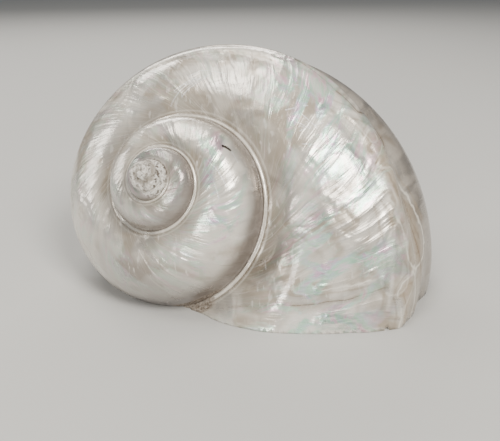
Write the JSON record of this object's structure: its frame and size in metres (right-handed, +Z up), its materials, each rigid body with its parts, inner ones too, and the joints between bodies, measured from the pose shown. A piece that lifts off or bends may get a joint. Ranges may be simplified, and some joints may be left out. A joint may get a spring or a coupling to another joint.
{
  "type": "turban snail shell",
  "caption": "Large coiled sea shell of polished mother-of-pearl, closed at the spire and hollow from its mouth, which it rests on.",
  "frame": {"origin": "on the surface it rests on, under the middle of the shell's bounding box", "axes": "+X towards the outer lip, -Y towards the viewer with the spire at the left, +Z up from the surface it rests on"},
  "size_m": [0.181, 0.1358, 0.1119],
  "materials": {
    "mother_of_pearl": "polished"
  },
  "bodies": {
    "root": {"shell": "mother_of_pearl"}
  },
  "joints": []
}
